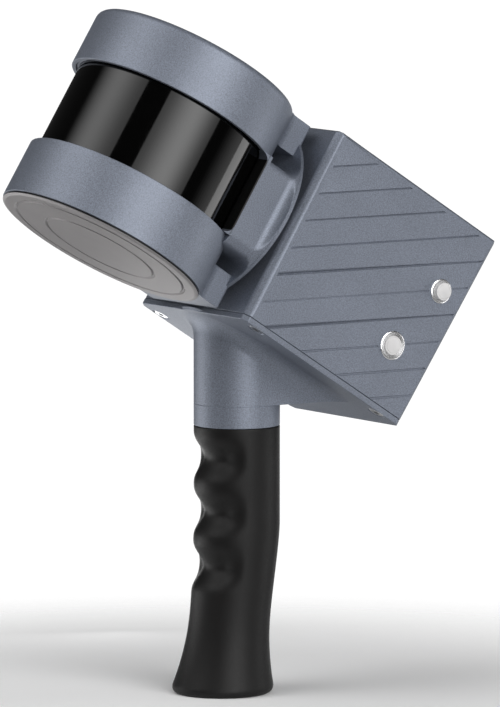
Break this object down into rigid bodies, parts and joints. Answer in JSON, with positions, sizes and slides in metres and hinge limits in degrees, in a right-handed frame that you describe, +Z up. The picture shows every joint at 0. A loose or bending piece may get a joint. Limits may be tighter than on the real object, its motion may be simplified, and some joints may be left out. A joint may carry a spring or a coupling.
{
  "type": "handheld laser scanner",
  "caption": "Pistol-grip 3D laser scanner: a lidar with a black infrared window in a turning head, on a tilted grooved electronics box with two side buttons.",
  "frame": {"origin": "centre of the grip's base, at the mouth of the tripod thread", "axes": "+Z up along the neck, -Y to the front where the lidar head is, +X to the side with the buttons"},
  "size_m": [0.1086, 0.2504, 0.3437],
  "materials": {
    "body_paint": "bead-blasted, blue-grey anodised",
    "dark_metal": "black anodised",
    "disc_paint": "bead-blasted, warm grey anodised",
    "black_plastic": "matte",
    "window_black": "polished, opaque to the eye, clear to infrared",
    "rubber_black": "matte moulded",
    "steel": "satin",
    "chrome": "polished",
    "brass": "machined",
    "copper_coil": "enamelled copper wire",
    "circuit_board": "solder mask",
    "chip_black": "matte",
    "cell_wrap": "shrink wrap",
    "cap_grey": "satin",
    "lens_glass": "coated"
  },
  "bodies": {
    "handheld_body": {"housing_shell": "body_paint", "neck_casting": "body_paint", "bottom_gasket": "rubber_black", "bottom_screws": "steel", "neck_collar": "body_paint", "handle_core": "dark_metal", "handle_bolt": "steel", "rubber_grip": "rubber_black", "base_cap": "black_plastic", "base_cap_screws": "steel", "tripod_insert": "brass", "drive_housing": "dark_metal", "drive_flange_screws": "steel", "drive_end_cover": "dark_metal", "end_cover_screws": "steel", "motor_stator": "copper_coil", "bearing_outer_races": "steel", "bearing_balls": "steel", "encoder_cover": "black_plastic", "encoder_board": "circuit_board", "slip_ring_stator": "black_plastic", "main_board": "circuit_board", "board_standoffs": "brass", "board_screws": "steel", "processor_module": "chip_black", "heat_spreader": "steel", "storage_module": "chip_black", "imu_module": "black_plastic", "imu_screws": "steel", "battery_cells": "cell_wrap", "battery_holder": "chip_black", "power_board": "circuit_board", "charge_port": "steel", "power_button_bezel": "chrome", "record_button_bezel": "chrome", "button_nuts": "steel"},
    "scan_head": {"rear_housing": "body_paint", "lower_ring": "body_paint", "upper_cap": "body_paint", "tail_screws": "steel", "end_disc": "disc_paint", "end_disc_seal": "rubber_black", "side_liners": "black_plastic", "ir_window": "window_black", "window_seals": "rubber_black", "pan_shaft": "steel", "hub_screws": "steel", "motor_rotor": "dark_metal", "bearing_inner_races": "steel", "shaft_nut": "steel", "encoder_disc": "chrome", "slip_ring_rotor": "brass", "lidar_base": "dark_metal", "lidar_board": "circuit_board", "lidar_axle": "steel", "lidar_top": "dark_metal"},
    "lidar_rotor": {"lidar_turret": "chip_black", "lidar_lenses": "lens_glass"},
    "power_cap": {"power_button_cap": "cap_grey"},
    "record_cap": {"record_button_cap": "cap_grey"}
  },
  "joints": [
    {"name": "head_pan", "type": "hinge", "parent": "handheld_body", "child": "scan_head", "pos_m": [0, 0.01029, 0.23744], "axis": [0, 0.8434, -0.5373], "continuous": true},
    {"name": "lidar_spin", "type": "hinge", "parent": "scan_head", "child": "lidar_rotor", "pos_m": [0, -0.04318, 0.2715], "axis": [0, 0.5373, 0.8434], "continuous": true},
    {"name": "power_press", "type": "slide", "parent": "handheld_body", "child": "power_cap", "axis": [-1, 0, 0], "range_m": [0, 0.001], "stiffness_N_per_m": 1500},
    {"name": "record_press", "type": "slide", "parent": "handheld_body", "child": "record_cap", "axis": [-1, 0, 0], "range_m": [0, 0.001], "stiffness_N_per_m": 1500}
  ]
}
